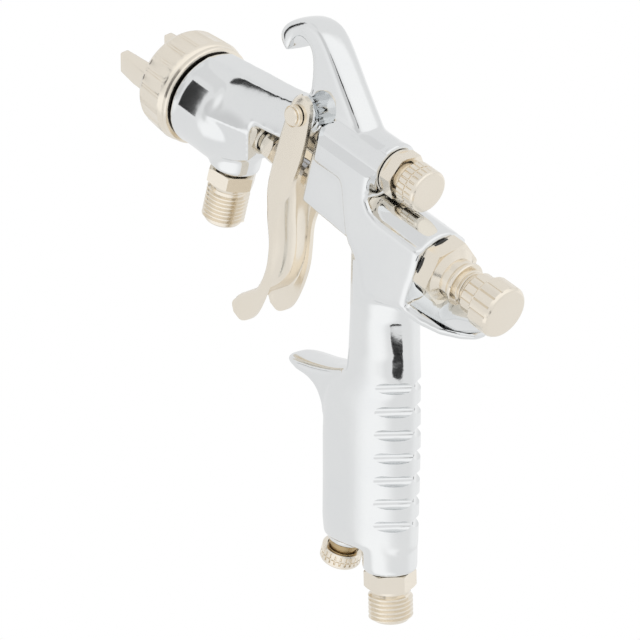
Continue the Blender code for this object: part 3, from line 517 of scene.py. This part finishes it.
for a, b in zip(lead, trail):
    ease = min(1.0, max(0.0, (a.y + 24.0) / 18.0))
    half = TIP_HALF + (CHEEK_HALF - TIP_HALF) * ease * ease * (3 - 2 * ease)
    depth = (b - a).length
    across = (b - a) / depth
    soft = min(2.4, depth * 0.45)
    bead = 0.8 * max(0.0, min(1.0, (-6 - a.y) / 6, (a.y + 40) / 6))
    section = [(depth, half), (depth * 0.7 + soft * 0.3, half), (soft, half)]
    section += [(soft - soft * math.sin(q), half - soft + soft * math.cos(q)) for q in (0.52, 1.05)]
    section += [(0, half - soft), (0, 2.6), (bead * 0.5, 1.6), (bead, 0.8), (bead, 0)]
    section += [(d, -y) for d, y in reversed(section[:-1])]
    row = []
    for d, y in section:
        spot = a + across * d
        row.append(pressed.verts.new((spot.x, y, spot.y)))
    rows.append((row, [pressed.edges.new(pair) for pair in zip(row, row[1:])]))
for (_, low), (_, high) in zip(rows, rows[1:]):
    bmesh.ops.bridge_loops(pressed, edges=low + high)
WEB_TOP, WEB_HALF = 4.4, 7.4
middles = [(f, f.calc_center_median()) for f in pressed.faces]
open_web = [f for f, middle in middles if middle.z > WEB_TOP and abs(middle.y) < WEB_HALF]
bmesh.ops.delete(pressed, geom=open_web, context='FACES')
bmesh.ops.recalc_face_normals(pressed, faces=pressed.faces)
if sum(f.normal.x for f in pressed.faces if abs(f.normal.x) > 0.7) < 0:
    bmesh.ops.reverse_faces(pressed, faces=pressed.faces)
bmesh.ops.solidify(pressed, geom=pressed.faces, thickness=SHEET)
arch = bore(-60, -30, 5.7, ALONG, (0, 0, -50.6))
pressed = carved(pressed, [bore(-20, 20, 2.35, ACROSS, PIVOT), bore(-60, -38, 2.3), arch], solver='EXACT')
placed("trigger_pressing", pressed, nickel, "trigger", ["trigger"])

# Trigger pivot: a turned stud with a flat head through both cheeks,
# and the slotted screw that holds it from the right.
OUTSIDE = 10.3
stud = spun(bmesh.new(), [(OUTSIDE + 1.9, 0), (OUTSIDE + 1.9, 2.3), (OUTSIDE + 1.6, 2.6), (OUTSIDE + 1.0, 2.6),
                          (OUTSIDE + 1.0, 2.85), (OUTSIDE + 1.3, 3.05), (OUTSIDE + 1.1, 3.25), (OUTSIDE, 3.25),
                          (OUTSIDE, 2.0), (-OUTSIDE, 2.0), (-OUTSIDE, 1.3), (-3, 1.3), (-3, 0)], ACROSS, PIVOT, 64)
placed("pivot_stud", ended(stud), nickel, "gun", ["trigger_pivot_stud"])
pin = spun(bmesh.new(), [(-OUTSIDE - 2.2, 0), (-OUTSIDE - 2.2, 2.4), (-OUTSIDE - 1.6, 3.25), (-OUTSIDE - 0.3, 3.25),
                         (-OUTSIDE - 0.3, 1.0), (-4, 1.0), (-4, 0)], ACROSS, PIVOT, 64)
slot_cut = bmesh.new()
bmesh.ops.create_cube(slot_cut, size=1.0)
bmesh.ops.scale(slot_cut, verts=slot_cut.verts, vec=(9.0, 1.6, 0.9))
bmesh.ops.translate(slot_cut, verts=slot_cut.verts, vec=PIVOT + ACROSS * (-OUTSIDE - 2.2))
placed("pivot_screw", carved(pin, [slot_cut]), nickel, "gun", ["trigger_pivot_screw"])

# Air valve: a hollow steel stem that the trigger pushes, with the needle running through it,
# and the round gland nut that guides it in the block.
stem = spun(bmesh.new(), [(-45.4, 1.6), (-45.4, 2.2), (-45.8, 2.5), (-92.3, 2.5), (-92.3, 1.6)], steps=40)
placed("valve_stem", ended(stem), ground, "air_valve", ["air_valve_stem"])
guide_nut = spun(bmesh.new(), [(-51.4, 2.85), (-51.4, 4.6), (-51.9, 5.3), (-53.6, 5.3), (-53.8, 5.0), (-54.2, 5.0),
                               (-54.4, 5.3), (-56.7, 5.3), (-56.7, 4.2), (-60.2, 4.2), (-60.2, 2.85)], steps=64)
placed("valve_gland", ended(guide_nut), nickel, "gun", ["air_valve_gland"])

# Fluid adjuster: a hexagon guide screwed into the needle tube,
# and the fluted knob on its fine thread that sets how far the needle may lift.
guide = ended(spun(bmesh.new(), [(-93.0, 4.2), (-93.0, 6.7), (-105.9, 6.7), (-105.9, 8.2), (-110.2, 8.2),
                                 (-111.4, 6.3), (-111.7, 5.9), (-114.2, 5.9), (-114.4, 5.6), (-114.7, 5.6),
                                 (-115.0, 6.3), (-115.3, 6.45), (-115.9, 6.45), (-116.2, 6.2), (-116.3, 4.75),
                                 (-122.6, 4.75), (-123.0, 4.2)], steps=72))
added(guide, carved(spanner(-110.3, -105.15, 9.75, ALONG, (0, 0, 0), 0.25, 0.55), [bore(-120, -100, 5.5)]))
added(guide, thread(bmesh.new(), -122.2, -116.9, 5.3, 0.5, 1.1, ALONG, (0, 0, 0)))
placed("fluid_guide_hexagon", guide, nickel, "gun", ["fluid_guide"])


def fluted(outline, along, at, count, each, rows, sink, width=1):
    """Spin a knob and sink narrow flutes in the rows between the given distances."""
    shape = spun(bmesh.new(), outline, along, at, count * each)
    place = (Matrix.Translation(at) @ UP.rotation_difference(Vector(along)).to_matrix().to_4x4()).inverted()
    back = place.inverted()
    for point in shape.verts:
        here = place @ point.co
        radius = math.hypot(here.x, here.y)
        for start, end, least in rows:
            if start <= here.z <= end and radius > least:
                step = round((math.atan2(here.y, here.x) / (2 * math.pi) * count % 1.0) * each) % each
                if step < width:
                    shrink = 1 - sink / radius
                    point.co = back @ Vector((here.x * shrink, here.y * shrink, here.z))
    return ended(shape)


knob = fluted([(132.0, 0), (132.0, 6.7), (131.7, 7.2), (131.1, 7.6), (130.9, 7.7), (125.2, 7.7), (125.0, 7.6),
               (124.5, 7.0), (124.4, 5.9), (124.2, 6.0), (124.1, 6.15), (120.5, 6.15), (120.4, 6.15), (120.0, 5.9),
               (120.0, 5.5), (128.3, 5.5), (128.3, 0)],
              -ALONG, (0, 0, 0), 16, 9, [(125.1, 131.0, 7.2), (120.45, 124.15, 6.05)], 0.4)
placed("fluid_knob_fluted", knob, nickel, "fluid_knob", ["fluid_knob"], 24.0)

# Pattern and air adjusters: two like needle valves, each with a brass spindle, a guide and a knurled nickel knob.
# One sets the fan's width from behind the hook, the other the air from the handle's toe.
brown = plated("bare_brass", (0.56, 0.43, 0.25), (0.42, 0.31, 0.17), 0.18, 0.12)


def knurled(head, end, radius, along, at):
    """A hollow cup with two rows of square knurling and a plain flat face."""
    middle = head + (end - head) * 0.46
    return fluted([(end, 0), (end, radius - 0.75), (end - 0.25, radius - 0.25), (end - 0.7, radius),
                   (end - 1.25, radius), (end - 1.3, radius), (middle + 0.25, radius), (middle + 0.2, radius - 0.3),
                   (middle - 0.2, radius - 0.3), (middle - 0.25, radius), (head + 0.45, radius),
                   (head + 0.4, radius), (head, radius - 0.4), (head, 4.75), (head + 0.4, 4.55),
                   (end - 2.4, 4.55), (end - 2.4, 0)], along, at, 24, 8,
                  [(middle + 0.22, end - 1.28, radius - 0.2), (head + 0.42, middle - 0.22, radius - 0.2)], 0.45, 2)


pattern = ended(spun(bmesh.new(), [(72.8, 2.25), (72.8, 4.0), (81.6, 4.0), (81.6, 6.6), (82.3, 6.6), (82.5, 5.6),
                                   (86.0, 5.6), (86.1, 4.2), (89.2, 4.2), (89.2, 2.25)], -ALONG, PATTERN_LINE, 64))
added(pattern, carved(spanner(81.9, 86.0, 7.2, -ALONG, PATTERN_LINE, math.pi / 6, 0.7),
                      [bore(70, 95, 4.4, -ALONG, PATTERN_LINE)]))
placed("pattern_guide_hexagon", pattern, nickel, "gun", ["pattern_guide"])
placed("pattern_knob_knurled", knurled(88.0, 95.0, 6.35, -ALONG, PATTERN_LINE), nickel, "pattern_knob",
       ["pattern_knob", "pattern_knob_screw"], 24.0)
toe = ended(spun(bmesh.new(), [(90.1, 2.25), (90.1, 4.0), (98.9, 4.0), (98.9, 4.6), (100.2, 4.6), (100.4, 4.2),
                               (102.6, 4.2), (102.6, 2.25)], -UP, TOE_LINE, 64))
placed("air_guide_collar", toe, brown, "gun", ["air_guide"])
placed("air_knob_knurled", knurled(101.4, 106.3, 6.2, -UP, TOE_LINE), nickel, "air_knob",
       ["air_knob", "air_knob_screw"], 24.0)

# Everything that stays out of sight keeps its CAD solid and gets its own finish:
# steel springs, brass spindles and seats, rubber rings and white seals.


def moulded(name, colour, worn, dull):
    """Rubber or plastic: a mottled colour, dull skin and a fine moulded grain."""
    look = bpy.data.materials.new(name)
    look.use_nodes = True
    shader = look.node_tree.nodes["Principled BSDF"]
    start = Flow(look.node_tree, None)
    here = start.node("ShaderNodeTexCoord", out=3)
    mottle = start.node("ShaderNodeTexNoise", Vector=here, Scale=400.0, Detail=3.0)
    grain = start.node("ShaderNodeTexNoise", Vector=here, Scale=3000.0, Detail=2.0)
    tint = start.node("ShaderNodeMix", out=2, settings={"data_type": 'RGBA'}, s0=mottle, s6=(*colour, 1.0),
                      s7=(*worn, 1.0))
    look.node_tree.links.new(tint.socket, shader.inputs["Base Color"])
    look.node_tree.links.new((dull + 0.15 * grain).socket, shader.inputs["Roughness"])
    bump = start.node("ShaderNodeBump", Strength=0.3, Distance=0.00002, Height=grain)
    look.node_tree.links.new(bump.socket, shader.inputs["Normal"])
    return look


rubber = moulded("black_rubber", (0.02, 0.02, 0.02), (0.05, 0.05, 0.05), 0.5)
white_seal = moulded("white_seal", (0.8, 0.8, 0.77), (0.7, 0.7, 0.66), 0.35)
HIDDEN = {"nozzle_gasket": white_seal, "needle_packing": white_seal, "air_valve_disc": white_seal,
          "air_valve_packing": white_seal, "fluid_nipple_gasket": rubber, "air_nipple_gasket": rubber,
          "fluid_guide_gasket": rubber, "pattern_ring": rubber, "air_ring": rubber, "air_valve_spring": ground,
          "needle_spring": ground, "needle_collar": brown, "fluid_spring_seat": brown, "pattern_spindle": brown,
          "air_spindle": brown}
for name, look in HIDDEN.items():
    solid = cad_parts[name]
    solid.data.materials.clear()
    solid.data.materials.append(look)

# Studio: a camera at the photograph's angle, a pale floor well below the hanging gun, dark cards that only the
# polished metal sees, and soft white light all round with a few brighter and darker parts.
eye = bpy.data.objects.new("eye", bpy.data.cameras.new("eye"))
view.collection.objects.link(eye)
eye.data.lens, eye.data.sensor_width, eye.data.clip_start = 137.34, 36.0, 0.01
aim = Matrix(((-0.6427, 0.5024, -0.5783), (-0.7362, -0.1964, 0.6476), (0.2118, 0.8420, 0.4961)))
eye.matrix_world = Matrix.Translation((-0.4410, 0.4625, 0.2758)) @ aim.to_4x4()
view.camera = eye
view.view_settings.view_transform = 'Standard'

floor_form = bmesh.new()
bmesh.ops.create_grid(floor_form, x_segments=8, y_segments=8, size=6.0)
bmesh.ops.translate(floor_form, verts=floor_form.verts, vec=(0, 0, -0.75))
floor_mesh = bpy.data.meshes.new("floor")
floor_form.to_mesh(floor_mesh)
floor_form.free()
floor = bpy.data.objects.new("floor", floor_mesh)
view.collection.objects.link(floor)
floor.visible_glossy = False
floor_look = bpy.data.materials.new("pale_floor")
floor_look.use_nodes = True
floor_tree = floor_look.node_tree
floor_tree.nodes.clear()
paint = Flow(floor_tree, None)
ray = floor_tree.nodes.new("ShaderNodeLightPath")
seen = paint.maths('MAXIMUM', Flow(floor_tree, ray.outputs["Is Camera Ray"]),
                   paint.maths('MAXIMUM', Flow(floor_tree, ray.outputs["Is Glossy Ray"]),
                               Flow(floor_tree, ray.outputs["Is Transmission Ray"])))
matt = paint.node("ShaderNodeBsdfDiffuse", Color=(0.85, 0.85, 0.85, 1.0))
lit = paint.node("ShaderNodeEmission", Color=(1.0, 1.0, 1.0, 1.0), Strength=1.0)
both = paint.node("ShaderNodeMixShader", s0=seen, s1=matt, s2=lit)
surface = floor_tree.nodes.new("ShaderNodeOutputMaterial")
floor_tree.links.new(both.socket, surface.inputs["Surface"])
floor_mesh.materials.append(floor_look)

# One card follows the mirror image of the camera in the head's round side. The other, an oval, stands behind the grip.
card_form = bmesh.new()
CARD_AWAY, MID_HEAD, HEAD_RADIUS = 110.0, -9.5, 14.6
SIGHT_ALONG, SIGHT_ACROSS, VIEW_RISE = 0.654, 0.756, math.radians(34.5)
card_line = []
for step in range(10):
    lean = math.radians(6 + 3.8 * step)
    turned = 2 * lean - VIEW_RISE
    far = (CARD_AWAY - HEAD_RADIUS * math.cos(lean)) / (SIGHT_ACROSS * math.cos(turned))
    across = Vector((MID_HEAD + SIGHT_ALONG * far, CARD_AWAY,
                     HEAD_RADIUS * math.sin(lean) + SIGHT_ACROSS * math.sin(turned) * far))
    ends = [card_form.verts.new((across + ALONG * s - HOOK_CROWN) * 0.001) for s in (-5, 16)]
    card_line.append(card_form.edges.new(ends))
for low, high in zip(card_line, card_line[1:]):
    bmesh.ops.bridge_loops(card_form, edges=[low, high])
OVAL_AT, OVAL_WAY = Vector((-206.0, 48.0, -25.5)), Vector((0.62, 0.79, -0.18))
rim = [OVAL_AT + OVAL_WAY * a + UP * b - HOOK_CROWN for a, b in oval(55, 4.6, 2, 24)]
card_form.faces.new([card_form.verts.new(corner * 0.001) for corner in rim])
card_mesh = bpy.data.meshes.new("dark_card")
card_form.to_mesh(card_mesh)
card_form.free()
card = bpy.data.objects.new("dark_card", card_mesh)
view.collection.objects.link(card)
card.visible_camera = card.visible_diffuse = card.visible_shadow = card.visible_transmission = False
card_look = bpy.data.materials.new("black_card")
card_look.use_nodes = True
card_shader = card_look.node_tree.nodes["Principled BSDF"]
card_shader.inputs["Base Color"].default_value = (0.01, 0.01, 0.01, 1.0)
card_shader.inputs["Roughness"].default_value = 0.9
card_mesh.materials.append(card_look)

world = bpy.data.worlds.new("studio")
view.world = world
world.use_nodes = True
sky = world.node_tree
sky.nodes.clear()
air = Flow(sky, None)
path = sky.nodes.new("ShaderNodeLightPath")
way = air.node("ShaderNodeTexCoord", out=0)


def part(turn, rise, wide, tall, soft):
    """How far a ray looks into an oval part of the studio, given by its bearing, height and half sizes in degrees."""
    turn, rise = math.radians(turn), math.radians(rise)
    out = Vector((math.cos(turn) * math.cos(rise), math.sin(turn) * math.cos(rise), math.sin(rise)))
    side = Vector((-math.sin(turn), math.cos(turn), 0))
    over = out.cross(side)
    dots = [air.node("ShaderNodeVectorMath", out=1, settings={"operation": 'DOT_PRODUCT'}, s0=way, s1=tuple(v))
            for v in (side / math.sin(math.radians(wide)), over / math.sin(math.radians(tall)), out)]
    reach = dots[0] * dots[0] + dots[1] * dots[1]
    inside = air.node("ShaderNodeMapRange", settings={"interpolation_type": 'SMOOTHSTEP'},
                      s0=reach, s1=1.0 + soft, s2=max(0.0, 1.0 - soft), s3=0.0, s4=1.0)
    return inside * air.maths('GREATER_THAN', dots[2], 0.0)


STRAP_GAP = part(94, 13, 6, 8, 0.2)
DIM_FRONT = part(25, 50, 22, 9, 0.3)
RIGHT_LAMP = part(-95, -12, 45, 20, 0.6)
TOP_LAMP = part(170, 62, 60, 28, 0.6)
DIM_SIDE = part(78, 12, 16, 24, 0.7)
LOW_LAMP = part(108, -30, 46, 18, 0.7)
GLOW = 0.84
glow = GLOW + 0.10 * RIGHT_LAMP + 0.20 * TOP_LAMP + 0.21 * LOW_LAMP - 0.06 * DIM_FRONT - 0.16 * DIM_SIDE
glow = glow * (1.0 - 0.95 * STRAP_GAP)
bright = air.maths('MAXIMUM', Flow(sky, path.outputs["Is Camera Ray"]), glow)
backdrop = air.node("ShaderNodeBackground", Color=(1.0, 1.0, 1.0, 1.0), Strength=bright)
outlet = sky.nodes.new("ShaderNodeOutputWorld")
sky.links.new(backdrop.socket, outlet.inputs["Surface"])
